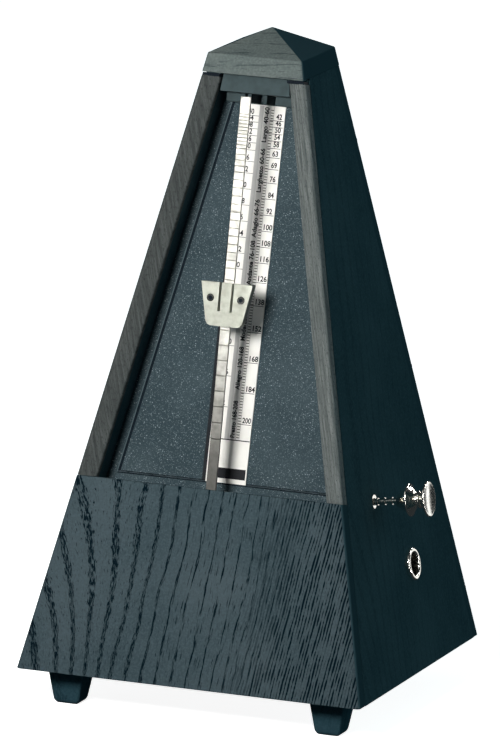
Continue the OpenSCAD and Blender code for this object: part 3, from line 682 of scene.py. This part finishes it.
def case(mats):
    corner = (outer_corner, 1.5, 5)
    crisp = (anywhere, 0.22, 2)
    eased_copy("front_lower_panel", "front_panel", mats["oak_front"], [corner, crisp])
    eased_copy("back_board", "back_panel", mats["oak_back"], [corner, crisp])
    eased_copy("left_side_board", "left_side", mats["oak_side"], [crisp])
    eased_copy("top_cap", "cap", mats["oak_cap"], [(cap_corner, 1.0, 4), (anywhere, 0.4, 3)])
    for side, strip in (("left", "shaded_strip"), ("right", "grey_strip")):
        eased_copy(f"{side}_rail", f"{side}_strip", mats[strip],
                   [(upright, 0.5, 3), (anywhere, 0.15, 2)])
    for place in ("front_left", "front_right", "rear"):
        eased_copy(f"foot_{place}", f"{place}_foot", mats["oak_foot"], [(anywhere, 1.3, 4)])
    eased_copy("pendulum_catch", "catch", mats["catch_rubber"], [(anywhere, 0.25, 3)])
    # A dark line of painted shade over the plate's groove, and a light line of painted highlight
    # beside it.
    groove_line("groove_shade", GROOVE_IN, 0.9, mats["painted_shade"])
    groove_line("groove_highlight", GROOVE_IN - 0.35, 0.35, mats["groove_highlight"])
    cap_gaps(mats["painted_shade"])
    NODES["bottom_board"].data.materials[0] = mats["oak_back"]


def groove_line(name, inset, width, material):
    """A line that runs round the face plate, inset from its edge."""
    def corners(extra):
        low = GROOVE_LOW + GROOVE_IN - inset + extra
        high = GROOVE_HIGH - GROOVE_IN + inset - extra
        points = []
        for side, s in ((-1, low), (1, low), (1, high), (-1, high)):
            edge = half_width(s * math.cos(TAPER) - PLATE_DEPTH * math.sin(TAPER)) - PLATE_SIDE
            points.append((side * (edge - inset - extra), s))
        return points
    outer, inner = corners(0), corners(width)
    shapes = [[outer[k], outer[(k + 1) % 4], inner[(k + 1) % 4], inner[k]] for k in range(4)]
    flat_shapes(name, shapes, material, ON_PLATE)


def cap_gaps(material):
    """Dark blocks between the top of each rail and the cap: painted shade under the cap."""
    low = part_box("left_rail")[1].z / MM - FOOT_H
    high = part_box("top_cap")[0].z / MM - FOOT_H - GAP_TOP
    shapes = []
    for side in (-1, 1):
        ends = [(side * (half_width(z) - edge), z / math.cos(TAPER))
                for z, edges in ((low, (GAP_SIDE, RAIL_W)), (high, (RAIL_W, GAP_SIDE)))
                for edge in edges]
        shapes.append(ends if side < 0 else ends[::-1])
    flat_shapes("cap_gaps", shapes, material, SCALE_DEPTH - GAP_DEPTH,
                GAP_THICK)


# ---- Key ring and bell pull ----
def side_frame(y, z, tilt):
    """The right side's frame at height z above the case's lower edge, in mm, with Z outwards."""
    return (Matrix.Translation((half_width(z) * MM, y * MM, (z + FOOT_H) * MM)) @
            Matrix.Rotation(math.radians(90 - tilt), 4, "Y"))


def fittings(chrome):
    ring = [(3.7, -5.4), (4.4, -5.4), (4.4, 0), (5.4, 0)]
    ring += arc(4.8, 0.8, 0.6, 0, 90) + arc(4.3, 0.8, 0.6, 90, 180)
    lathe("key_ferrule", "key_ring", chrome, ring, side_frame(KEY_Y, KEY_Z, math.degrees(TAPER)))
    e = PULL_OUT
    knob = [(0, e - 9.15), (1.6, e - 9.15), (1.6, e - 10.8), (2.1, e - 11.1)]
    knob += [(2.1 + 2.9 * t ** 1.3, e - 11.1 + 3.6 * t) for t in (0.25, 0.5, 0.75, 1)]
    knob += arc(5.0, e - 7.1, 0.4, -60, 70) + [(4.4, e - 6.35), (3.3, e - 5.5), (2.3, e - 4.8)]
    knob += [(2.2, e - 4.3)] + arc(2.5, e - 3.7, 0.42, -60, 60) + [(2.2, e - 3.1), (2.4, e - 2.4)]
    knob += [(3.4, e - 1.8), (4.6, e - 1.4)] + arc(5.4, e - 0.75, 0.4, -60, 90)
    knob += [(4.8, e - 0.42), (3.4, e - 0.6), (0, e - 0.7)]
    lathe("bell_pull_knob", "pull_knob", chrome, knob, side_frame(PULL_Y, PULL_Z, PULL_TILT))


# ---- Printed scale ----
# With the weight r mm above the pivot, the beats per minute squared are
# LAW_GAIN (LAW_BALANCE - r) / (LAW_INERTIA + r r). The mark lies LAW_SHIFT below r.
LAW_GAIN, LAW_BALANCE, LAW_INERTIA, LAW_SHIFT = 4.26e6, 147.4, 10390.0, 4.8
TEMPOS = (list(range(40, 61, 2)) + list(range(63, 73, 3)) + list(range(76, 121, 4)) +
          list(range(126, 145, 6)) + list(range(152, 209, 8)))
# Each word's middle up the slope and the length it fills.
WORDS = (("Presto 168-208", 87.6, 12.0), ("Allegro 120-168", 104.2, 14.0),
         ("Moderato 108-120", 120.8, 15.5), ("Andante 76-108", 138.4, 14.4),
         ("Adagio 66-76", 152.8, 12.4), ("Larghetto 60-66", 168.3, 14.2),
         ("Largo 40-60", 183.1, 11.4))
PRINT_TOP = 189.2
DARK_BAND, PALE_BAND = (-1.95, -0.45), (-0.45, 1.85)
BAR, EDGE_STRIP = (-6.5, 6.5, 68.3, 71.7), (-8.3, -6.95, 66.9, PRINT_TOP)
LEFT_RULE, RIGHT_RULE, BASE_RULE = (-6.6, -1.95, 0.07), (1.9, 6.6, 0.09), (-6.8, 6.8, 0.16)
TICK, TICK_STEP = (2.05, 3.0, 0.13), 0.9
BORDERS, BORDER_HALF_W = (1.87, 3.1), 0.03
LEFT_NUMBERS, RIGHT_NUMBERS, WORDS_X = -4.7, 5.0, 0.72
NUMBER_SIZE, WORD_SIZE, DIGIT_W = 2.45, 2.15, 0.98
NUMBER_ABOVE = 1.25
BAND_LIFT, BAR_LIFT, RULE_LIFT, TYPE_LIFT = 0.01, 0.02, 0.03, 0.05
TYPE_THICK, TYPE_BOLD = 0.01, 0.065


def tempo_height(tempo):
    """Distance of a tempo's mark above the pivot, in mm, from the law of the weighted pendulum."""
    low, high = 0.0, 147.0
    for _ in range(30):
        r = (low + high) / 2
        beats = math.sqrt(LAW_GAIN * max(LAW_BALANCE - r, 0) / (LAW_INERTIA + r * r))
        low, high = (r, high) if beats > tempo else (low, r)
    return low - LAW_SHIFT


def printed_scale(mats):
    def printed(name, shapes, material, lift):
        flat_shapes(name, shapes, mats[material], lift)

    bottom = PIVOT_S + tempo_height(208)
    printed("scale_band_dark", [rect(*DARK_BAND, bottom, PRINT_TOP)], "ink_grey", BAND_LIFT)
    # A pale band behind the words: painted shadow of the rod, over which the render's own rod
    # shadow also falls.
    printed("scale_band_pale", [rect(*PALE_BAND, bottom, PRINT_TOP)], "painted_shadow_band", BAND_LIFT)
    fine = []
    lettering = [(word, WORDS_X, s, WORD_SIZE, 90, length) for word, s, length in WORDS]
    for k, tempo in enumerate(TEMPOS):
        s = PIVOT_S + tempo_height(tempo)
        on_right = k % 2 == 1
        fine.append(rule(RIGHT_RULE if on_right else LEFT_RULE, s))
        x = RIGHT_NUMBERS if on_right else LEFT_NUMBERS
        width = DIGIT_W * len(str(tempo))
        lettering.append((str(tempo), x, s + NUMBER_ABOVE, NUMBER_SIZE, 0, width))
    for k in range(int((PRINT_TOP - bottom) / TICK_STEP)):
        fine.append(rule(TICK, bottom + k * TICK_STEP))
    for x in BORDERS:
        fine.append(rect(x - BORDER_HALF_W, x + BORDER_HALF_W, bottom, PRINT_TOP))
    fine.append(rule(BASE_RULE, bottom))
    printed("scale_rules", fine, "ink", RULE_LIFT)
    printed("scale_bar", [rect(*BAR)], "ink", BAR_LIFT)
    # A dark strip on the plate along the scale's left edge, drawn in the ink's colour.
    printed("scale_edge", [rect(*EDGE_STRIP)], "ink", ON_PLATE)
    print_text(lettering, mats["ink"])


def print_text(lettering, material):
    """Each piece of lettering is (text, across, up the slope, type size, turn, length it fills)."""
    pieces = []
    for text, x, s, size, turn, length in lettering:
        curve = bpy.data.curves.new("lettering", "FONT")
        curve.body = text
        curve.align_x = "CENTER"
        curve.align_y = "CENTER"
        curve.resolution_u = 3
        curve.size = size * MM
        curve.extrude = TYPE_THICK * MM
        curve.offset = TYPE_BOLD * MM
        obj = bpy.data.objects.new("lettering", curve)
        bpy.context.scene.collection.objects.link(obj)
        bpy.context.view_layer.update()
        squeeze = length * MM / obj.dimensions.x
        place = FRONT @ Matrix.Translation((x * MM, s * MM, (TYPE_LIFT - SCALE_DEPTH) * MM))
        obj.matrix_world = (place @ Matrix.Rotation(math.radians(turn), 4, "Z") @
                            Matrix.Diagonal((squeeze, 1, 1, 1)))
        pieces.append(obj)
    bpy.context.view_layer.update()
    graph = bpy.context.evaluated_depsgraph_get()
    bm = bmesh.new()
    for obj in pieces:
        part = bpy.data.meshes.new_from_object(obj.evaluated_get(graph))
        part.transform(obj.matrix_world)
        bm.from_mesh(part)
        bpy.data.meshes.remove(part)
        bpy.data.objects.remove(obj)
    link("scale_lettering", to_mesh("scale_lettering", bm), material, "case")


# ---- Pendulum ----
ROD_FOOT, ROD_TOP, ROD_HALF_T = -3.2, 137.3, 0.45
ROD_EDGE, ROD_ROUND = 0.12, 0.3
MARK_HALF_W, MARK_DEPTH = 0.2, 0.22
RIVET_R, HOLLOW_R, HOLLOW_THICK = 1.25, 0.7, 0.06


def pendulum(mats):
    rod(mats["rod_nickel"])
    eased_copy("sliding_weight", "weight", mats["nickel"], [(anywhere, 0.14, 2)])
    NODES["weight_rivets"].data.materials[0] = mats["chrome_trim"]
    rivet_hollows(mats["painted_shade"])


def rivet_hollows(material):
    """A dark disc in the middle of each of the weight's two rivets: painted shade in its hole."""
    points = [PENDULUM.inverted() @ v.co for v in NODES["weight_rivets"].data.vertices]
    top = max(p.z for p in points)
    middle = (max(p.y for p in points) + min(p.y for p in points)) / 2
    reach = max(p.x for p in points) - RIVET_R * MM
    bm = bmesh.new()
    for x in (-reach, reach):
        bmesh.ops.create_cone(bm, cap_ends=True, segments=32, radius1=HOLLOW_R * MM,
                              radius2=HOLLOW_R * MM, depth=HOLLOW_THICK * MM,
                              matrix=PENDULUM @ Matrix.Translation((x, middle, top)))
    link("rivet_hollows", to_mesh("rivet_hollows", bm), material, BODY_OF["weight_rivets"])


def rod(material):
    """The rod is a flat strip with a fine engraved groove across it at each tempo."""
    half_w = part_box("pendulum_rod")[1].x / MM
    outline = [(ROD_FOOT, ROD_HALF_T)]
    for tempo in sorted(TEMPOS, reverse=True):
        y = tempo_height(tempo)
        outline += [(y - MARK_HALF_W, ROD_HALF_T), (y, ROD_HALF_T - MARK_DEPTH),
                    (y + MARK_HALF_W, ROD_HALF_T)]
    outline += arc(ROD_TOP - ROD_ROUND, ROD_HALF_T - ROD_ROUND, ROD_ROUND, 90, 0, 3)
    outline += [(ROD_TOP, -ROD_HALF_T), (ROD_FOOT, -ROD_HALF_T)]
    verts, faces = [], []
    n = len(outline)
    for x, shrink in ((-half_w, ROD_EDGE), (ROD_EDGE - half_w, 0), (half_w - ROD_EDGE, 0),
                      (half_w, ROD_EDGE)):
        thin = ROD_HALF_T - shrink
        verts += [PENDULUM @ Vector((x * MM, y * MM, max(min(z, thin), -thin) * MM))
                  for y, z in outline]
    for ring in range(3):
        a, b = ring * n, (ring + 1) * n
        faces += [(a + k, a + (k + 1) % n, b + (k + 1) % n, b + k) for k in range(n)]
    faces.append(list(range(n)))
    faces.append([3 * n + k for k in reversed(range(n))])
    mesh = bpy.data.meshes.new("rod")
    mesh.from_pydata(verts, [], faces)
    turn_outwards(mesh)
    replace("pendulum_rod", "rod", mesh, material)


def main():
    camera()
    studio()
    floor()
    mats = materials()
    for name, node in NODES.items():
        node.data.materials.clear()
        node.data.materials.append(mats.get(SLOT_OF[name], mats["oak_side"]))
    case(mats)
    fittings(mats["chrome_trim"])
    printed_scale(mats)
    pendulum(mats)


main()
